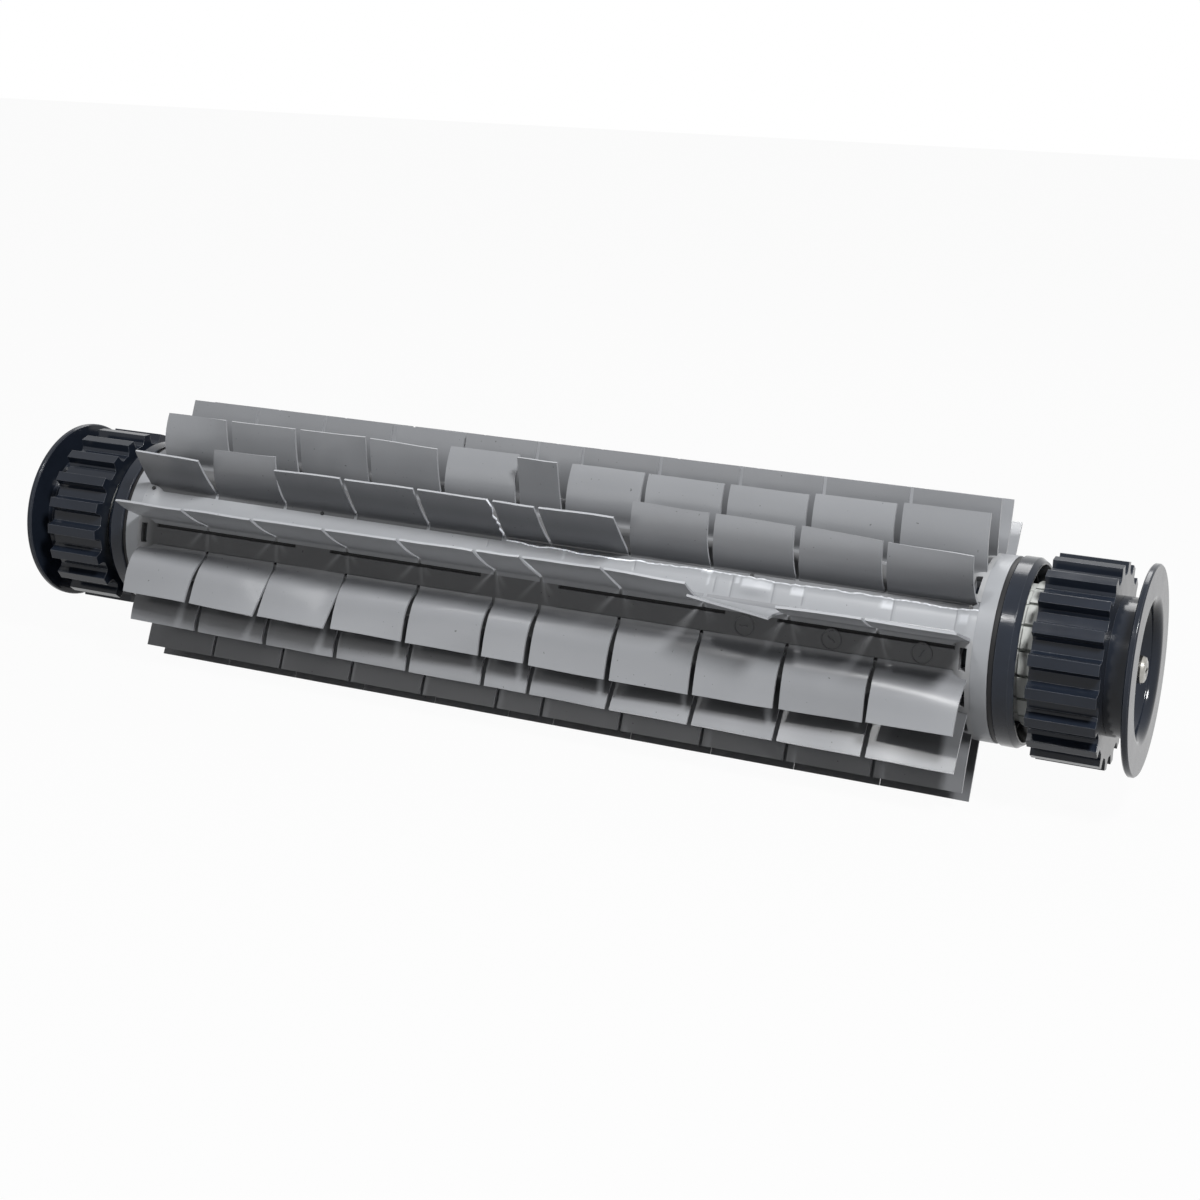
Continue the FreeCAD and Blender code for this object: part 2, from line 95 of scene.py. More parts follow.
FLAPS = {
    0: [(54.9, 6.3, 55.0, 5.8), (55.0, 5.8, 55.0, 5.4), (55.0, 5.2, 55.2, 4.8),
        (54.6, 7.0, 54.6, 6.6), (55.3, 4.0, 55.4, 3.4), (55.4, 3.6, 55.4, 3.4),
        (55.5, 3.0, 55.5, 2.6), (55.5, 2.6, 55.6, 2.2), (55.6, 2.2, 55.7, 1.8),
        (55.7, 1.8, 55.7, 1.4), (55.8, 1.4, 55.8, 1.0)],
    1: same(55.7, -2.1),
    2: same(54.6, -4.2),
    3: same(55.0, 5.0),
    4: same(54.6, 8.0),
    5: same(55.0, 6.0),
    6: same(55.6, 2.5, 9) + [(55.6, 2.5, 55.4, 0.0), (55.0, -3.5, 54.4, -8.5)],
    7: same(55.9, -1.5, 9) + [(55.8, -3.0, 55.2, -7.0), (54.4, -13.0, 53.0, -24.5)],
    8: same(57.2, 6.0),
    9: same(55.6, -4.5),
    10: [(52.6, -8.9, 53.0, -9.0), (53.0, -9.2, 53.4, -9.2), (53.2, -9.6, 53.6, -9.4),
         (53.4, -9.8, 53.8, -9.6), (53.8, -9.8, 54.0, -9.8), (54.0, -9.8, 54.2, -9.8),
         (54.4, -9.6, 54.8, -9.8), (54.8, -9.8, 55.0, -10.0), (55.0, -9.8, 55.2, -10.0),
         (55.2, -9.8, 55.4, -10.0), (55.5, -9.8, 55.7, -10.1)],
    11: [(50.2, -17.0, 51.9, -16.0), (51.4, -16.4, 52.6, -16.7), (52.0, -16.6, 52.5, -16.7),
         (50.6, -18.0, 49.6, -19.5), (49.8, -19.6, 48.8, -20.9), (49.6, -20.0, 49.6, -20.1),
         (49.4, -20.9, 49.2, -21.9), (49.0, -22.2, 48.4, -23.3), (48.8, -22.4, 48.8, -22.3),
         (48.2, -22.6, 47.7, -22.8), (50.0, -19.6, 51.6, -17.6)],
    12: [(54.4, 4.0, 54.6, 4.0), (54.8, 4.2, 54.8, 4.2), (54.8, 4.4, 54.8, 4.6),
         (54.8, 4.6, 54.8, 4.8), (55.0, 5.0, 55.0, 5.0), (55.2, 5.2, 55.4, 5.4),
         (55.8, 5.2, 55.9, 5.6), (56.0, 5.4, 54.6, 4.7), (55.0, 0.2, 55.4, -4.0),
         (54.0, 0.8, 54.8, 1.3), (55.8, 1.1, 56.0, 0.8)],
    13: [(53.9, 4.7, 54.4, 3.3), (51.2, 13.3, 53.9, 11.4), (52.8, 4.9, 54.0, 4.6),
         (53.6, 4.6, 54.2, 4.2), (54.2, 4.2, 54.6, 3.6), (54.6, 3.4, 55.1, 2.8),
         (55.1, 2.8, 56.0, 2.4), (50.6, 16.7, 51.4, 14.8), (49.9, 16.5, 50.8, 14.5),
         (49.6, 16.6, 50.6, 12.8), (50.8, 12.4, 54.2, 8.2)],
    14: [(53.3, 9.7, 55.6, 5.2), (55.2, 5.8, 55.2, 6.0), (55.2, 6.0, 55.7, 5.9),
         (55.5, 5.6, 54.9, 4.9), (53.0, 12.5, 53.4, 12.0), (55.8, 4.8, 56.0, 4.2),
         (51.8, 13.0, 52.0, 12.6), (52.8, 10.4, 52.8, 10.1), (52.7, 10.4, 52.7, 10.1),
         (53.4, 10.2, 53.6, 10.0), (54.2, 10.4, 54.4, 10.4)],
}
# How early along its length a row's flaps turn: 1 is even, more is nearer to the root.
EARLY = {11: 2.2, 10: 1.4, 13: 1.4, 14: 1.3, 12: 1.0}
EARLY_ELSE = 1.2
# The most that a flap bends, in radians: by row, or else by how many degrees its tip is turned.
# A flap that would need more is shorter, and one whose tip is out of reach is straight and longer.
MOST_BEND = {10: 1.0, 11: 1.5, 12: 0.3}
FLAT_TURN, FLAT_BEND, LEANED_BEND = 7.5, 0.22, 0.95
# Steps in which a bend is added up, tries in finding it, and steps between two places along a flap.
BEND_STEPS, TRIES, PART_STEPS = 60, 24, 4
# Places along a flap's length, close together at its root; the torn flap has more of them.
ALONG = [0, 0.012, 0.03, 0.055, 0.09, 0.14, 0.2, 0.28, 0.37, 0.47, 0.58, 0.7, 0.82, 0.92, 1.0]
TORN_ALONG = ALONG[:5] + [0.12 + 0.88 * k / 22 for k in range(23)]
# Steps across a flap, and the width from which it takes the larger number.
NARROW_STEPS, WIDE_STEPS, WIDE_FLAP = 6, 8, 25
# How far a flap's turn wanders across its width, in degrees, in one wave and in two.
RIPPLE, DOUBLE_RIPPLE = 0.22, 0.15
# Rows whose slits differ from the rest.
SLITS = {8: 0.3, 9: 1.3, 14: 1.9}
# How much narrower a row's flaps are from halfway out, on each side.
TAPER = {11: 0.45, 10: 0.3, 12: 0.1, 13: 0.3, 14: 0.3}
# A flap's thickness in its middle line, what it loses to the tip, and the fillets at its root.
THICK, THINNER = 1.1, 0.2
FILLET, SHARP_FILLET = 2.0, 0.6
# How far a flap starts under the skin's outside, and how deep its root reaches further in.
SUNK, ROOT_DEPTH = 0.1, 1.0
# The flap whose right edge is torn; the flaps after it in its row have sharp roots.
TORN_ROW, TORN_FLAP, TORN_TONE = 13, 4, 3.0
# The torn edge: how rough, how far it stands out, and how far it falls back from where on to the tip.
RIP, RIP_OUT, RIP_BACK, RIP_FROM = 0.8, 0.3, 1.3, 0.75

# ---- tones: how light the skin is painted, 1 as its material's own colour; most of them are painted light and shade

# Painted highlights on the flaps' sides and tips. The tips of the low rows are lighter.
EDGE_TONE, TIP_TONE, LOW_TIP_TONE, LOW_ROWS = 1.2, 1.3, 2.2, range(7, 11)
# Painted shade keeps the roots darker: how dark, and from where to where in mm along a flap it ends.
ROOT_SHADE, ROOT_SHADE_FROM, ROOT_SHADE_TO, ROOT_SHADE_TO_ELSE = 0.62, {10: 13.5}, {10: 20.5, 0: 20.0}, 9.0
ROOT_SHADES = {10: 0.4, 0: 0.45}
# Painted light and shade: one round number a row, for how much light falls on it; the other rows are 1. Flaps
# of a row vary a little by chance.
ROW_PAINTED_LIGHT = {0: 0.75, 7: 0.5, 8: 0.5, 9: 0.5, 10: 0.8, 11: 0.8, 12: 1.2, 13: 0.55, 14: 0.9}
FLAP_SPREAD = 0.05
# Painted light and shade: how much lighter a row's flaps get towards their tips, from where in mm on.
TIP_GAIN, GAIN_FROM = {14: -0.06, 13: 0.4, 12: -0.3, 11: 0.15}, 12
# The channels between the rows, darkened as painted shade; the skin's ends, where that painted shade fades out
# and which rise to the tube's collars; and the skin's inside, a little darker.
CHANNEL_TONE, END_TONE, INSIDE_TONE = 0.9, 2.2, 0.8
END_RISE, SKIN_END = 1.22, HALF + 1.05


def ease(low, high, value):
    """0 below a range and 1 above it, with a soft rise between."""
    t = min(1.0, max(0.0, (value - low) / (high - low)))
    return t * t * (3 - 2 * t)


def within(value, low, high, soft):
    """1 inside a range, 0 outside it, with soft ends."""
    return ease(low - soft, low + soft, value) * (1 - ease(high - soft, high + soft, value))


def swing(bend, early):
    """Where a flap of length 1 ends as a complex number, if it starts along the real axis."""
    total = 0
    for k in range(BEND_STEPS):
        share = 1 - (1 - (k + 0.5) / BEND_STEPS) ** early
        total += complex(math.cos(bend * share), math.sin(bend * share)) / BEND_STEPS
    return total


def solve_flap(radius, turn, early, most):
    """Length, lean at the root and bend that bring a flap's tip to its place."""
    a = math.radians(turn)
    tip = complex(radius * math.cos(a) - SKIN, radius * math.sin(a))
    side = 1 if turn >= 0 else -1
    low, high = 0.0, most
    for _ in range(TRIES):
        middle = (low + high) / 2
        if abs(swing(middle, early)) * FIN > abs(tip):
            low = middle
        else:
            high = middle
    bend = side * low
    reach = swing(bend, early)
    lean = math.atan2(tip.imag, tip.real) - math.atan2(reach.imag, reach.real)
    return abs(tip) / abs(reach), lean, bend


def flap_line(radius, turn, early, most, along):
    """Points of a flap's middle surface as (out from the root, across, direction, run), root first."""
    length, lean, bend = solve_flap(radius, turn, early, most)
    points = []
    spot = complex(0, 0)
    last = 0.0
    for s in along:
        for k in range(PART_STEPS):
            at = last + (s - last) * (k + 0.5) / PART_STEPS
            angle = lean + bend * (1 - (1 - at) ** early)
            spot += complex(math.cos(angle), math.sin(angle)) * (s - last) * length / PART_STEPS
        last = s
        angle = lean + bend * (1 - (1 - s) ** early)
        points.append((spot.real, spot.imag, angle, s * length))
    return points


def flap_half(run, fillet):
    """Half of a flap's thickness: nearly even, and wider in the fillet at its root."""
    half = 0.5 * (THICK - THINNER * run / FIN)
    if run < fillet:
        half += fillet * (1 - math.sqrt(1 - (1 - run / fillet) ** 2))
    return half


def flap_rings(row, flap, spec, along, noise):
    """Rings of (x, out, across) points round a flap's section, from its left side to its right."""
    slit = SLITS.get(row, SLIT)
    near = EDGES[flap] + (slit / 2 if flap else 0)
    far = EDGES[flap + 1] - (slit / 2 if flap < 10 else 0)
    torn = (row, flap) == (TORN_ROW, TORN_FLAP)
    wide = far - near
    steps_x = NARROW_STEPS if wide < WIDE_FLAP else WIDE_STEPS
    radius_l, turn_l, radius_r, turn_r = spec
    flat = max(abs(turn_l), abs(turn_r)) < FLAT_TURN
    most = MOST_BEND.get(row, FLAT_BEND if flat else LEANED_BEND)
    fillet = SHARP_FILLET if row == TORN_ROW and flap > TORN_FLAP else FILLET
    wave = [noise.uniform(-1, 1) for _ in range(4)]
    rip = [noise.uniform(-RIP, RIP) for _ in along]
    rip = [(rip[k - 1] + 2 * rip[k] + rip[(k + 1) % len(rip)]) / 3 for k in range(len(rip))]
    rings = []
    for i in range(steps_x + 1):
        u = i / steps_x
        ripple = RIPPLE * math.sin(math.pi * u) * wave[0]
        ripple += DOUBLE_RIPPLE * math.sin(2 * math.pi * u) * wave[1]
        radius = radius_l + (radius_r - radius_l) * u
        turn = turn_l + (turn_r - turn_l) * u + ripple
        line = flap_line(radius, turn, EARLY.get(row, EARLY_ELSE), most, along)
        line.insert(0, (-ROOT_DEPTH, 0.0, 0.0, 0.0))
        ring = []
        for side in (1, -1):
            for k in range(len(line))[::side]:
                ahead, across, direction, run = line[k]
                s = run / FIN
                half = flap_half(run, fillet)
                lean = direction * min(1.0, run / fillet)
                out = SKIN - SUNK + ahead - side * half * math.sin(lean)
                off = across + side * half * math.cos(lean)
                x = near + wide * u + (1 - 2 * u) * TAPER.get(row, 0) * min(1, 2 * s)
                if torn and i == steps_x and k > 2:
                    x += rip[k - 1] + RIP_OUT - RIP_BACK * ease(RIP_FROM, 1.0, s)
                ring.append((x, out, off))
        rings.append(ring)
    return rings


def flap_shades(row, along, shade):
    """How light a flap is painted at each point of a ring, as painted light and shade: one side from root to
    tip, and the other back.
    """
    runs = [0.0] + [s * FIN for s in along]
    base = ROOT_SHADES.get(row, ROOT_SHADE)
    # Painted light and shade for the whole row, times the flap's tone by chance.
    own = ROW_PAINTED_LIGHT.get(row, 1.0) * shade
    shades = []
    for run in runs:
        # Painted shade at the root, giving way along the flap.
        unshaded = ease(ROOT_SHADE_FROM.get(row, 0), ROOT_SHADE_TO.get(row, ROOT_SHADE_TO_ELSE), run)
        gain = 1 + TIP_GAIN.get(row, 0) * ease(GAIN_FROM, FIN, run)
        shades.append(own * (base + (1 - base) * unshaded) * gain)
    return shades + shades[::-1]


def flap_mesh(row, flap, spec, noise, shade):
    """One flap as a closed shell, with a tone for each corner of its faces."""
    torn = (row, flap) == (TORN_ROW, TORN_FLAP)
    along = TORN_ALONG if torn else ALONG
    rings = flap_rings(row, flap, spec, along, noise)
    a = math.radians(row_angle(row))
    rad = np.array([0, -math.cos(a), math.sin(a)])
    tan = np.array([0, math.sin(a), math.cos(a)])
    verts = []
    for ring in rings:
        for x, out, off in ring:
            p = rad * out + tan * off
            verts.append((x, p[1], p[2]))
    around = len(rings[0])
    half = around // 2
    shades = flap_shades(row, along, shade)
    # Painted highlights on the flap's tip and sides.
    tip = LOW_TIP_TONE if row in LOW_ROWS else TIP_TONE
    faces, tones = [], []
    for i in range(len(rings) - 1):
        for k in range(around):
            a0 = i * around + k
            a1 = i * around + (k + 1) % around
            faces.append((a0, a1, a1 + around, a0 + around))
            here, ahead = shades[k], shades[(k + 1) % around]
            tones.append((tip,) * 4 if k == half - 1 else (here, ahead, ahead, here))
    first = list(range(around))
    last = [(len(rings) - 1) * around + k for k in range(around)]
    for ring, right in ((first, False), (last, True)):
        for k in range(half - 1):
            quad = (ring[k], ring[k + 1], ring[around - 2 - k], ring[around - 1 - k])
            faces.append(quad if right else quad[::-1])
            tones.append((TORN_TONE if torn and right else EDGE_TONE,) * 4)
    return verts, faces, tones


def make_object(name, verts, faces, smooth=True):
    """A new mesh object from points in millimetres."""
    mesh = bpy.data.meshes.new(name)
    mesh.from_pydata([tuple(c * MM for c in v) for v in verts], [], faces)
    if smooth:
        mesh.polygons.foreach_set("use_smooth", [True] * len(mesh.polygons))
        mesh.set_sharp_from_angle(angle=math.radians(SHARP_FROM))
    mesh.update()
    obj = bpy.data.objects.new(name, mesh)
    bpy.context.scene.collection.objects.link(obj)
    return obj


def set_tone(obj, by_corner):
    """Keeps how light or dark the skin is painted at each face corner, mostly painted light and shade, 1 as
    the material's own colour.
    """
    layer = obj.data.attributes.new("tone", "FLOAT", "CORNER")
    layer.data.foreach_set("value", by_corner)


def build_fins():
    """All flaps as one piece."""
    noise, patchy = random.Random(7), random.Random(5)
    verts, faces, by_corner = [], [], []
    for row in range(ROWS):
        for flap, spec in enumerate(FLAPS[row]):
            shade = 1 + patchy.uniform(-FLAP_SPREAD, FLAP_SPREAD)
            v, f, tones = flap_mesh(row, flap, spec, noise, shade)
            faces += [tuple(i + len(verts) for i in face) for face in f]
            by_corner += [tone for corners in tones for tone in corners]
            verts += v
    fins = make_object("fins", verts, faces)
    set_tone(fins, by_corner)
    return fins


def stations(marks, low, high, longest):
    """Sorted places from low to high that hold all marks, with no step over the longest."""
    marks = sorted(set([low, high] + [m for m in marks if low < m < high]))
    out = []
    for a, b in zip(marks, marks[1:]):
        count = max(1, math.ceil((b - a) / longest))
        out += [a + (b - a) * k / count for k in range(count)]
    return out + [marks[-1]]


# ---- marks on the two panels that the camera sees best; places are X in mm and degrees on the skin

SEAM_ROW, MARK_ROW = 12, 11
SEAM_ROOT, MARK_ROOT = 18, -6
WINDOW_AT = HALF - WINDOW_INSET
# The moulding's torn lip under row 13: its edge from left to right.
LIP_START = -8.5
LIP = [(-9, 38.6), (-2.8, 39.0), (4.1, 37.4), (15, 37.0), (44.5, 37.2), (77.8, 38.0), (90, 37.4),
       (103, 36.6), (125, 36.8), (149, 37.0), (172, 36.2), (180, 36.6)]
LIP_HIGH = 0.6
# Random numbers behind the lip's slow and quick teeth.
SLOW_JAGS, QUICK_JAGS = 120, 320
# Fold lines that run round the skin, shallow dips painted darker as shade: X, from and to in degrees.
FOLDS = [(-16.2, 31.5, 36.5), (47.0, 30.5, 36.5), (80.2, 23.6, 34.7), (86.9, 20.4, 36.5), (103.3, 22.0, 36.4),
         (114.9, 23.3, 36.5), (148.8, 20.8, 36.0), (172.1, 20.7, 35.5)]
# Patches of painted light, where light falls through the slits and as a sheen on the raised place: X from and
# to, degrees from and to, how much lighter.
LIGHT_PATCHES = [(110.1, 115.2, 30.0, 34.6, 1.6), (144.1, 148.6, 30.0, 34.6, 1.6), (173.2, 176.6, 27.5, 33.3, 1.45),
        (90.6, 102.3, 30.3, 35.4, 1.5), (87.7, 89.8, 31.8, 36.4, 1.45), (74.2, 78.6, 36.2, 38.2, 1.9),
        (77.1, 77.9, 27.9, 35.4, 1.4), (16.2, 17.1, 30.6, 37.6, 1.4)]
# A place that stands out: X from and to, degrees from and to, how high in mm.
BULGE = (86.9, 103.3, 27.0, 37.0, 0.9)
# Painted light: pale streaks below the ends of row 12's slits, where light falls through them: drift along X
# in mm, reach in degrees, how strong.
STREAKS = [(-10.0, 20.0, 0.9), (5.0, 13.0, 1.1)]
# Undercuts along the roots over and under the marked panel: X from and to.
GROOVES = [(-170.7, -102.2), (-85.3, -16.7), (17.7, 86.0), (107.0, 173.2)]
UPPER_GROOVE, LOWER_GROOVE = (11.4, 13.7), (-3.2, -1.5)
# How deep the undercuts are, and how much darker they are painted as shade.
GROOVE_DEEP, GROOVE_SHADE = 1.0, 0.88
# Three plain round mould marks with one short stroke each: X and the stroke's slope.
MARKS = [(94.1, 4), (127.9, -35), (161.7, 60)]
# The marks' rings and strokes are painted dark as the shade round their relief.
MARK_ANGLE, MARK_RADIUS, MARK_SHADE, MARK_HIGH, MARK_SIDES = 5.6, 3.75, 0.2, 0.25, 40
RING_HALF, STROKE_HALF, STROKE_AT, STROKE_SLANT = 0.34, 0.36, (-1.7, -0.6, 0.6, 1.7), 0.15
# Small pegs that stand for peg holes, painted near black as the shade in them: X and degrees.
PEG_RADIUS, PEG_SIDES, PEG_UP, PEG_HOLE_SHADE = 0.75, 16, 0.5, 0.06
PEGS = [(-176.65, 38.4), (-93.3, 38.4), (93.8, 38.5), (176.8, 37.7)]


def lip_angle(x, jags):
    """Where the torn lip's edge lies at x, with its small teeth."""
    base = float(np.interp(x, [p[0] for p in LIP], [p[1] for p in LIP]))
    slow = float(np.interp(x / 6.0, range(-SLOW_JAGS // 2, SLOW_JAGS // 2), jags[:SLOW_JAGS]))
    quick = float(np.interp(x / 1.5, range(-QUICK_JAGS // 2, QUICK_JAGS // 2), jags[SLOW_JAGS:]))
    calm = ease(45, 70, x)
    return base + (0.8 - 0.5 * calm) * slow + (0.25 + 0.25 * calm) * quick


def slab(xs, columns, height, tone, holes):
    """A closed curved slab of skin; columns[i] are its angles at xs[i], and height and tone are per point."""
    count = len(columns[0])
    layer = len(xs) * count
    verts = [place(x, SKIN + height[i][k], columns[i][k]) for i, x in enumerate(xs) for k in range(count)]
    verts += [place(x, SKIN - SKIN_THICK, columns[i][k]) for i, x in enumerate(xs) for k in range(count)]
    solid = {(i, k) for i in range(len(xs) - 1) for k in range(count - 1)} - holes
    faces = []
    for i, k in sorted(solid):
        quad = [(i, k), (i + 1, k), (i + 1, k + 1), (i, k + 1)]
        outer = [p * count + q for p, q in quad]
        faces.append(tuple(outer))
        faces.append(tuple(layer + v for v in reversed(outer)))
        beyond = ((i, k - 1), (i + 1, k), (i, k + 1), (i - 1, k))
        for side, cell in enumerate(beyond):
            if cell not in solid:
                a, b = outer[side], outer[(side + 1) % 4]
                faces.append((a, a + layer, b + layer, b))
    shades = [tone[i][k] for i in range(len(xs)) for k in range(count)]
    return verts, faces, shades + [INSIDE_TONE] * layer


def window_cells(xs, columns, root):
    """The cells of a panel that its two slots leave open."""
    cells = set()
    for i in range(len(xs) - 1):
        if abs(abs(xs[i] + xs[i + 1]) / 2 - WINDOW_AT) < WINDOW_WIDE / 2:
            for k in range(len(columns[i]) - 1):
                rest = (columns[i][k] + columns[i][k + 1]) / 2 - root
                if abs(rest - STEP / 2) < WINDOW_ARC / 2:
                    cells.add((i, k))
    return cells


WINDOW_SIDES = [s * (WINDOW_AT + t * WINDOW_WIDE / 2) for s in (-1, 1) for t in (-1, 1)]
WINDOW_ENDS = [STEP / 2 - WINDOW_ARC / 2, STEP / 2 + WINDOW_ARC / 2]
END_STEPS = [side * (HALF - back) for side in (-1, 1) for back in (1.0, 2.5, 4.0, 5.5, 7.0)]


def end_share(x):
    """0 along the skin and 1 at its two ends."""
    return ease(HALF - 7, HALF - 1, abs(x))


def plain_panel(row):
    """A panel between two rows, with its slots and no marks."""
    root = row_angle(row)
    xs = stations(WINDOW_SIDES + EDGES + END_STEPS, -SKIN_END, SKIN_END, 12)
    columns = [[root + r for r in stations(WINDOW_ENDS, 0, STEP, 2.6)]] * len(xs)
    height = [[END_RISE * end_share(x)] * len(columns[0]) for x in xs]
    # The channel is painted darker as shade, which fades out towards the skin's ends.
    tone = [[CHANNEL_TONE + (END_TONE - CHANNEL_TONE) * end_share(x)] * len(columns[0]) for x in xs]
    return slab(xs, columns, height, tone, window_cells(xs, columns, root))


def streak(x, below):
    """How much painted light the skin gets at x, so many degrees under the root of row 12, where light falls
    through the slits.
    """
    pale = 0.0
    for edge in EDGES[1:-1]:
        for drift, reach, strong in STREAKS:
            t = below / reach
            middle = edge + drift * t
            if 0 <= t <= 1:
                pale += strong * (1 - t) * within(x, middle - 0.3 - t, middle + 0.3 + t, 0.5 + t)
    return pale


def marked_panel():
    """The panel over the bent row, with an undercut along both its roots that is painted dark as shade, and
    painted light below row 12's slits.
    """
    ends = [x + d for span in GROOVES for x in span for d in (-0.4, 0.4)]
    xs = stations(WINDOW_SIDES + EDGES + END_STEPS + ends, -SKIN_END, SKIN_END, 0.8)
    sides = (UPPER_GROOVE, LOWER_GROOVE)
    marks = [a + d - MARK_ROOT for groove in sides for a in groove for d in (-0.2, 0.2)]
    turn = stations(marks + WINDOW_ENDS, 0, STEP, 1.5)
    columns = [[MARK_ROOT + t for t in turn]] * len(xs)
    height, tone = [], []
    for x in xs:
        along = max(within(x, a, b, 0.4) for a, b in GROOVES)
        deep = [along * max(within(MARK_ROOT + t, *g, 0.2) for g in sides) for t in turn]
        end = end_share(x)
        height.append([END_RISE * end - GROOVE_DEEP * d for d in deep])
        # Painted shade of the channel, painted light below row 12's slits, and the painted shade fading out at
        # the ends.
        painted_tone = [CHANNEL_TONE + streak(x, STEP - t) + (END_TONE - CHANNEL_TONE) * end for t in turn]
        tone.append([b * (1 - GROOVE_SHADE * d) for b, d in zip(painted_tone, deep)])
    return slab(xs, columns, height, tone, window_cells(xs, columns, MARK_ROOT))


def seam_panel():
    """The panel with the moulding's seam: a thin torn lip with a painted highlight on its rim and painted
    shade behind it, fold lines darkened as painted shade, and patches of painted light.
    """
    noise = random.Random(11)
    jags = [noise.uniform(-1, 1) for _ in range(SLOW_JAGS + QUICK_JAGS)]
    folds = [x + d for x, _, _ in FOLDS for d in (-0.45, -0.14, 0.14, 0.45)]
    xs = stations(folds + EDGES + END_STEPS, -SKIN_END, SKIN_END, 1.0)
    columns, height, tone = [], [], []
    for x in xs:
        edge = lip_angle(x, jags)
        torn = ease(LIP_START - 0.8, LIP_START + 0.8, x)
        angles = [SEAM_ROOT + r for r in (0, 2, 3.5, 5, 6.5, 8, 9.5, 11, 12.2, 13.3, 14.3)]
        angles += [edge - 2.4, edge - 1.0, edge - 0.75, edge, edge + 0.06, edge + 0.9, 41.2, 42]
        # The lip's rim is a painted highlight: brightest on the left, where the lip lies in shade; it fades to
        # the right and varies along its edge.
        rim = (1.6 + 2.4 * (1 - ease(30, 60, x))) * (1 + 0.3 * math.sin(2.3 * x) * math.sin(0.9 * x))
        # Flat ground, the lip up to its edge, and the lower ground behind it, painted darker as the shade
        # under row 13.
        lift = [0] * 11 + [0.1, 0.75, 0.9, 0.9, -0.4, -0.5, -0.5, -0.5]
        shade = [1.0] * 11 + [1.0, 1.0, rim, rim, 0.6, 0.5, 0.5, 0.5]
        # Fold lines painted darker as shade, and patches painted lighter as light.
        fold = [max(within(x, f - 0.1, f + 0.1, 0.3) * within(a, low, high, 0.6)
                    for f, low, high in FOLDS) for a in angles]
        pale = [1 + sum((much - 1) * within(x, x0, x1, 0.35) * within(a, a0, a1, 0.5)
                        for x0, x1, a0, a1, much in LIGHT_PATCHES) for a in angles]
        left, right, low, high, up_to = BULGE
        arch = math.sin(math.pi * min(1, max(0, (x - left) / (right - left))))
        swell = [up_to * arch * within(a, low, high, 3.0) for a in angles]
        columns.append(angles)
        rise = END_RISE * end_share(x)
        height.append([rise + LIP_HIGH * torn * up + w - 0.3 * f for up, w, f in zip(lift, swell, fold)])
        tone.append([(1 + torn * (t - 1)) * p * (1 - 0.6 * f) for t, p, f in zip(shade, pale, fold)])
    return slab(xs, columns, height, tone, set())


def bead(path, half, high, closed):
    """A small raised line on the skin along (x, angle) points."""
    points = [np.array((x, math.radians(a) * SKIN)) for x, a in path]
    count = len(points)
    verts, faces = [], []
    for k, p in enumerate(points):
        before = points[k - 1] if closed or k else p
        after = points[(k + 1) % count] if closed or k < count - 1 else p
        ahead = (after - before) / np.linalg.norm(after - before)
        across = np.array((-ahead[1], ahead[0]))
        for off, up in ((-half, -0.3), (-half * 0.6, high), (half * 0.6, high), (half, -0.3)):
            q = p + across * off
            verts.append(place(q[0], SKIN + up, math.degrees(q[1] / SKIN)))
    for k in range(count if closed else count - 1):
        for j in range(4):
            a, b = k * 4 + j, k * 4 + (j + 1) % 4
            c, d = (k + 1) % count * 4 + (j + 1) % 4, (k + 1) % count * 4 + j
            faces.append((a, b, c, d))
    if not closed:
        faces += [(3, 2, 1, 0), tuple((count - 1) * 4 + j for j in range(4))]
    return verts, faces


def build_sleeve():
    """The skin's tube in 15 panels, with a slot at both ends of each but the seam's, and its marks."""
    parts = [plain_panel(row) for row in range(ROWS) if row not in (SEAM_ROW, MARK_ROW)]
    parts.append(marked_panel())
    shaded_face_count = sum(len(part[1]) for part in parts)
    parts.append(seam_panel())
    for x, slope in MARKS:
        ring = [(x + MARK_RADIUS * math.cos(t), MARK_ANGLE + math.degrees(MARK_RADIUS * math.sin(t) / SKIN))
                for t in (2 * math.pi * k / MARK_SIDES for k in range(MARK_SIDES))]
        tilt = math.radians(slope)
        stroke = [(x + r * math.cos(tilt),
                   MARK_ANGLE + math.degrees((r * math.sin(tilt) + STROKE_SLANT * (-1) ** k) / SKIN))
                  for k, r in enumerate(STROKE_AT)]
        for path, half, closed in ((ring, RING_HALF, True), (stroke, STROKE_HALF, False)):
            v, f = bead(path, half, MARK_HIGH, closed)
            parts.append((v, f, [MARK_SHADE] * len(v)))
    for x, angle in PEGS:
        rim = [(x + PEG_RADIUS * math.cos(t), angle + math.degrees(PEG_RADIUS * math.sin(t) / SKIN))
               for t in (2 * math.pi * k / PEG_SIDES for k in range(PEG_SIDES))]
        ground = SKIN + END_RISE * end_share(x)
        v = [place(px, ground + up, pa) for up in (-PEG_UP, PEG_UP) for px, pa in rim]
        f = [(k, (k + 1) % PEG_SIDES, PEG_SIDES + (k + 1) % PEG_SIDES, PEG_SIDES + k)
             for k in range(PEG_SIDES)]
        f += [tuple(range(PEG_SIDES - 1, -1, -1)), tuple(range(PEG_SIDES, 2 * PEG_SIDES))]
        parts.append((v, f, [PEG_HOLE_SHADE] * len(v)))
    verts, faces, by_corner = [], [], []
    for v, f, shades in parts:
        by_corner += [shades[i] for face in f for i in face]
        faces += [tuple(i + len(verts) for i in face) for face in f]
        verts += v
    sleeve = make_object("sleeve", verts, faces)
    set_tone(sleeve, by_corner)
    # The channel panels take the darker copy of the rubber, as painted shade.
    sleeve.data.materials.append(SLEEVE_GREY)
    sleeve.data.materials.append(SHADED_CHANNEL_GREY)
    sleeve.data.polygons.foreach_set("material_index", [1] * shaded_face_count + [0] * (len(faces) - shaded_face_count))
    return sleeve


# ---- materials

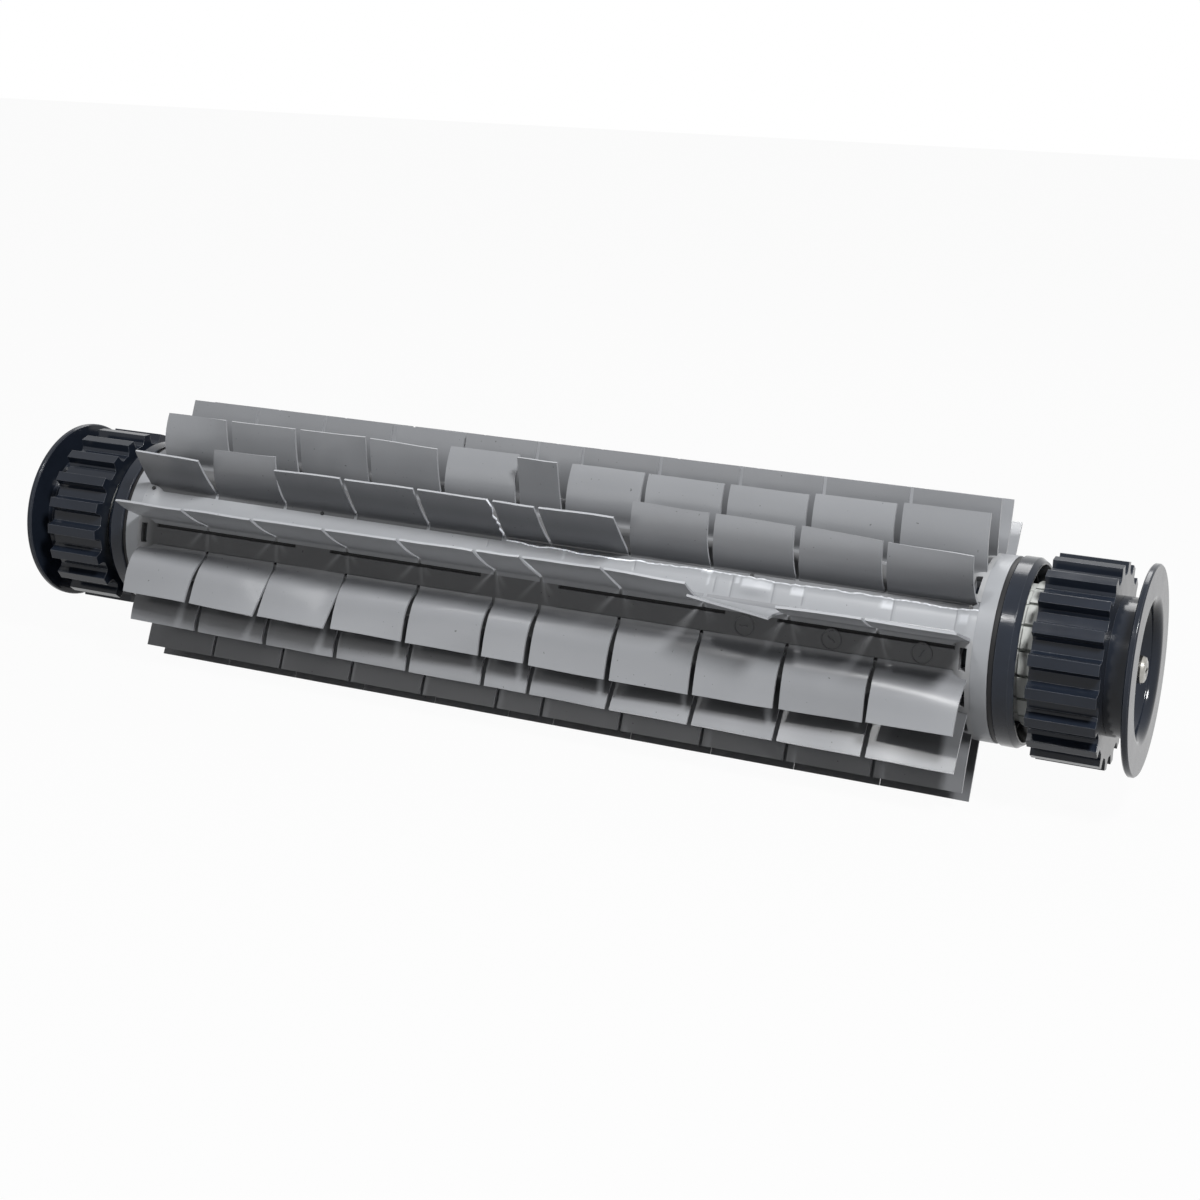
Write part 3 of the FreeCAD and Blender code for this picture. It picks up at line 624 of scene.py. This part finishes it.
class Nodes:
    """A short way to build a node material."""

    def __init__(self, name):
        self.material = bpy.data.materials.new(name)
        self.material.use_nodes = True
        self.tree = self.material.node_tree
        self.tree.nodes.clear()
        self.shader = self.add("ShaderNodeBsdfPrincipled")
        output = self.add("ShaderNodeOutputMaterial")
        self.link(self.shader, "BSDF", output, "Surface")
        self.coords = self.add("ShaderNodeTexCoord")

    def add(self, kind, **values):
        node = self.tree.nodes.new(kind)
        for key, value in values.items():
            if hasattr(node, key):
                setattr(node, key, value)
            else:
                node.inputs[key.replace("_", " ")].default_value = value
        return node

    def link(self, a, out, b, into):
        self.tree.links.new(a.outputs[out], b.inputs[into])

    def noise(self, scale, detail=3.0, rough=0.5, stretch=None):
        node = self.add("ShaderNodeTexNoise")
        node.inputs["Scale"].default_value = scale
        node.inputs["Detail"].default_value = detail
        node.inputs["Roughness"].default_value = rough
        if stretch is None:
            self.link(self.coords, "Object", node, "Vector")
        else:
            mapping = self.add("ShaderNodeMapping")
            mapping.inputs["Scale"].default_value = stretch
            self.link(self.coords, "Object", mapping, "Vector")
            self.link(mapping, "Vector", node, "Vector")
        return node

    def ramp(self, source, out, stops):
        node = self.add("ShaderNodeValToRGB")
        elements = node.color_ramp.elements
        while len(elements) < len(stops):
            elements.new(0.5)
        for element, (at, color) in zip(elements, stops):
            element.position = at
            element.color = (*color, 1.0) if len(color) == 3 else color
        self.link(source, out, node, "Fac")
        return node

    def mix(self, a, b, factor, mode="MIX"):
        """A mix of two colours; each value is a plain one, or a node with one of its outputs."""
        node = self.add("ShaderNodeMix", data_type="RGBA", blend_type=mode)
        for socket, source in ((0, factor), (6, a), (7, b)):
            if isinstance(source, tuple) and isinstance(source[0], bpy.types.Node):
                self.link(*source, node, socket)
            else:
                node.inputs[socket].default_value = source
        return node

    def bump(self, height, out, strength, distance, under=None):
        node = self.add("ShaderNodeBump")
        node.inputs["Strength"].default_value = strength
        node.inputs["Distance"].default_value = distance
        self.link(height, out, node, "Height")
        if under is not None:
            self.link(under, "Normal", node, "Normal")
        return node

    def gloss(self, source, rough, less, more):
        """Roughness that wanders with a noise."""
        spread = self.add("ShaderNodeMapRange")
        spread.inputs["To Min"].default_value = rough - less
        spread.inputs["To Max"].default_value = rough + more
        self.link(source, "Fac", spread, "Value")
        self.link(spread, "Result", self.shader, "Roughness")


def lit(color, factor):
    """A colour made lighter or darker."""
    return tuple(c * factor for c in color)


def rubber(name, base, mottle, rough, shine=0.2, coat=0.3):
    """Soft rubber: cloudy tone with a few dark specks, fine grain, and over it the mesh's tones, which are
    mostly painted light and shade.
    """
    n = Nodes(name)
    cloud = n.noise(18, 4, 0.55)
    tone = n.ramp(cloud, "Fac", [(0.3, lit(base, 1 - mottle)), (0.7, lit(base, 1 + mottle))])
    speck = n.noise(900, 1, 0.4)
    dots = n.ramp(speck, "Fac", [(0.78, (0, 0, 0)), (0.80, (1, 1, 1))])
    color = n.mix((tone, "Color"), lit(base, 0.45) + (1.0,), (dots, "Color"))
    # The mesh's tones: mostly painted light and shade.
    painted_light_and_wear = n.add("ShaderNodeAttribute", attribute_name="tone")
    shaded = n.mix((color, 2), (painted_light_and_wear, "Fac"), 1.0, "MULTIPLY")
    n.link(shaded, 2, n.shader, "Base Color")
    n.gloss(n.noise(30, 3, 0.6, (0.4, 1.5, 1.5)), rough, 0.07, 0.10)
    fine = n.noise(1400, 2, 0.6)
    wide = n.noise(45, 2, 0.5)
    first = n.bump(wide, "Fac", 0.35, 0.0006)
    second = n.bump(fine, "Fac", 0.10, 0.0001, first)
    n.link(second, "Normal", n.shader, "Normal")
    n.shader.inputs["IOR"].default_value = 1.5
    n.shader.inputs["Specular IOR Level"].default_value = shine
    n.shader.inputs["Coat Weight"].default_value = coat
    n.shader.inputs["Coat Roughness"].default_value = 0.2
    return n.material


def moulded(name, base, rough, mottle, dust=None, dust_cover=None, edge=None):
    """Moulded plastic: cloudy, a little dusty, scratched, with soft edges that may be painted lighter, as wear
    and as a painted highlight.
    """
    n = Nodes(name)
    cloud = n.noise(60, 4, 0.6)
    color = n.ramp(cloud, "Fac", [(0.3, lit(base, 1 - mottle)), (0.72, lit(base, 1 + mottle))])
    last = (color, "Color")
    if dust is not None:
        spread = n.noise(150, 5, 0.7)
        cover = n.ramp(spread, "Fac", [(dust_cover, (0, 0, 0)), (dust_cover + 0.16, (0.5, 0.5, 0.5))])
        last = (n.mix(last, dust + (1.0,), (cover, "Color")), 2)
    round_edge = n.add("ShaderNodeBevel", samples=6)
    round_edge.inputs["Radius"].default_value = 0.00035
    if edge is not None:
        plain = n.add("ShaderNodeNewGeometry")
        alike = n.add("ShaderNodeVectorMath", operation="DOT_PRODUCT")
        n.link(round_edge, "Normal", alike, 0)
        n.link(plain, "Normal", alike, 1)
        # Edges painted lighter: wear, and a painted highlight along them.
        painted_light_and_wear = n.ramp(alike, "Value", [(0.80, (0.8, 0.8, 0.8)), (0.985, (0, 0, 0))])
        last = (n.mix(last, edge + (1.0,), (painted_light_and_wear, "Color")), 2)
    n.link(*last, n.shader, "Base Color")
    n.gloss(n.noise(90, 4, 0.65), rough, 0.08, 0.12)
    scratch = n.noise(220, 3, 0.6, (0.25, 2.5, 2.5))
    grain = n.noise(2500, 1, 0.5)
    first = n.bump(scratch, "Fac", 0.12, 0.0002, round_edge)
    second = n.bump(grain, "Fac", 0.06, 0.00005, first)
    n.link(second, "Normal", n.shader, "Normal")
    n.shader.inputs["Specular IOR Level"].default_value = 0.26
    return n.material


def metal(name, base, rough):
    """Brushed metal: cloudy tone and fine lines."""
    n = Nodes(name)
    cloud = n.noise(400, 3, 0.6)
    color = n.ramp(cloud, "Fac", [(0.3, lit(base, 0.82)), (0.7, base)])
    n.link(color, "Color", n.shader, "Base Color")
    n.shader.inputs["Metallic"].default_value = 1.0
    lines = n.noise(3000, 2, 0.5, (0.3, 1, 1))
    n.gloss(lines, rough, 0.06, 0.12)
    bump = n.bump(lines, "Fac", 0.1, 0.00004)
    n.link(bump, "Normal", n.shader, "Normal")
    return n.material


FIN_GREY = rubber("fin_rubber", (0.315, 0.324, 0.341), 0.04, 0.34)
SLEEVE_GREY = rubber("sleeve_rubber", (0.335, 0.345, 0.362), 0.04, 0.32)
# A darker copy of the sleeve's rubber for the channels between the rows: painted shade.
SHADED_CHANNEL_GREY = rubber("shaded_channel_rubber", (0.15, 0.152, 0.156), 0.06, 0.45, 0.12, 0.0)
TUBE_GREY = moulded("tube_plastic", (0.30, 0.31, 0.327), 0.34, 0.03)
SLATE = moulded("slate_plastic", (0.012, 0.016, 0.025), 0.13, 0.15,
                dust=(0.05, 0.055, 0.065), dust_cover=0.74, edge=(0.13, 0.14, 0.16))
BLACK = moulded("seal_rubber", (0.008, 0.008, 0.009), 0.5, 0.2)
WHITE = moulded("bearing_plastic", (0.56, 0.575, 0.555), 0.42, 0.03)
STEEL = metal("screw_steel", (0.42, 0.41, 0.38), 0.26)
BRASS = metal("insert_brass", (0.70, 0.52, 0.25), 0.30)

CAD_LOOKS = {
    "wheel_tube": TUBE_GREY, "tube_plug": SLATE, "threaded_insert": BRASS, "seal_ring": BLACK,
    "guide_ring": SLATE, "bearing": WHITE, "drive_pulley": SLATE, "outer_flange": SLATE,
    "washer": STEEL, "screw": STEEL,
}
for node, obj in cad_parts.items():
    base = node.removesuffix("_right").removesuffix("_left")
    if base in CAD_LOOKS:
        obj.data.materials.clear()
        obj.data.materials.append(CAD_LOOKS[base])

fins = build_fins()
fins.data.materials.append(FIN_GREY)
sleeve = build_sleeve()
for piece in (fins, sleeve):
    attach(piece, "roller")
    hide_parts("brush_skin")

# ---- camera, solved from the photograph

EYE = Vector((342.567, -719.779, 209.115)) * MM
RIGHT = Vector((0.907004, 0.419706, 0.034510))
AHEAD = Vector((-0.406958, 0.894623, -0.184485))
camera = bpy.data.cameras.new("camera")
camera.lens = 61.119
camera.sensor_width = 36
camera.sensor_fit = "HORIZONTAL"
camera.shift_x = 0.005643
camera.shift_y = -0.136310
camera.clip_start = 0.01
viewer = bpy.data.objects.new("camera", camera)
up = RIGHT.cross(AHEAD)
viewer.matrix_world = Matrix.Translation(EYE) @ Matrix((RIGHT, up, -AHEAD)).transposed().to_4x4()
bpy.context.scene.collection.objects.link(viewer)
bpy.context.scene.camera = viewer

# ---- floor, light and world

FLOOR = cad_box[0][2]
# How far the floor reaches from the middle, in millimetres, its colour, and how white it looks.
FLOOR_REACH, FLOOR_COLOR, FLOOR_WHITE = 6000, (0.38, 0.38, 0.38, 1), 0.96
SKY_COLOR, SKY_LEVEL = (0.95, 0.97, 1.0, 1), 0.03


def seen_white(tree, shader, strength, amount):
    """Mixes plain white into what camera and mirrors see of a surface, never into the light it gives."""
    path = tree.nodes.new("ShaderNodeLightPath")
    sees = path.outputs["Is Camera Ray"]
    for ray in ("Is Glossy Ray", "Is Transmission Ray"):
        either = tree.nodes.new("ShaderNodeMath")
        either.operation = "MAXIMUM"
        tree.links.new(sees, either.inputs[0])
        tree.links.new(path.outputs[ray], either.inputs[1])
        sees = either.outputs[0]
    part = tree.nodes.new("ShaderNodeMath")
    part.operation = "MULTIPLY"
    part.inputs[1].default_value = amount
    tree.links.new(sees, part.inputs[0])
    world = shader.bl_idname == "ShaderNodeBackground"
    glow = tree.nodes.new("ShaderNodeBackground" if world else "ShaderNodeEmission")
    glow.inputs["Color"].default_value = (1, 1, 1, 1)
    glow.inputs["Strength"].default_value = strength
    mix = tree.nodes.new("ShaderNodeMixShader")
    tree.links.new(part.outputs[0], mix.inputs[0])
    tree.links.new(shader.outputs[0], mix.inputs[1])
    tree.links.new(glow.outputs[0], mix.inputs[2])
    return mix


def build_floor():
    reach, z = FLOOR_REACH, FLOOR / MM
    verts = [(-reach, -reach, z), (reach, -reach, z), (reach, reach, z), (-reach, reach, z)]
    floor = make_object("floor", verts, [(0, 1, 2, 3)], smooth=False)
    material = bpy.data.materials.new("floor")
    material.use_nodes = True
    tree = material.node_tree
    tree.nodes.clear()
    diffuse = tree.nodes.new("ShaderNodeBsdfDiffuse")
    diffuse.inputs["Color"].default_value = FLOOR_COLOR
    mix = seen_white(tree, diffuse, 1.0, FLOOR_WHITE)
    output = tree.nodes.new("ShaderNodeOutputMaterial")
    tree.links.new(mix.outputs[0], output.inputs["Surface"])
    floor.data.materials.append(material)


def build_world():
    world = bpy.data.worlds.new("world")
    bpy.context.scene.world = world
    world.use_nodes = True
    tree = world.node_tree
    tree.nodes.clear()
    sky = tree.nodes.new("ShaderNodeBackground")
    sky.inputs["Color"].default_value = SKY_COLOR
    sky.inputs["Strength"].default_value = SKY_LEVEL
    mix = seen_white(tree, sky, 1.0, 1.0)
    output = tree.nodes.new("ShaderNodeOutputWorld")
    tree.links.new(mix.outputs[0], output.inputs["Surface"])


def add_lamp(name, where, size, power):
    """A round soft lamp that points at the roller's middle."""
    lamp = bpy.data.lights.new(name, "AREA")
    lamp.shape = "DISK"
    lamp.size = size
    lamp.energy = power
    obj = bpy.data.objects.new(name, lamp)
    obj.location = where
    obj.rotation_euler = (-Vector(where)).to_track_quat("-Z", "Y").to_euler()
    bpy.context.scene.collection.objects.link(obj)


build_floor()
build_world()
# Each lamp: azimuth from the front towards +X and height over the roller's middle, both in degrees,
# then its distance and size in metres and its level.
LAMPS = {
    "key": (48, 50, 1.3, 0.26, 1.0), "left": (-42, 53, 1.3, 0.18, 0.06), "near": (-10, 52, 1.3, 0.12, 0.22),
    "back": (180, 48, 1.4, 0.6, 0.28), "front": (-25, 11, 1.5, 0.6, 0.06),
}
for name, (azimuth, height, distance, size, level) in LAMPS.items():
    turn, rise = math.radians(azimuth), math.radians(height)
    flat = distance * math.cos(rise)
    where = (flat * math.sin(turn), -flat * math.cos(turn), distance * math.sin(rise))
    add_lamp(name, where, size, level * (math.pi * distance) ** 2)
bpy.context.scene.view_settings.view_transform = "Standard"
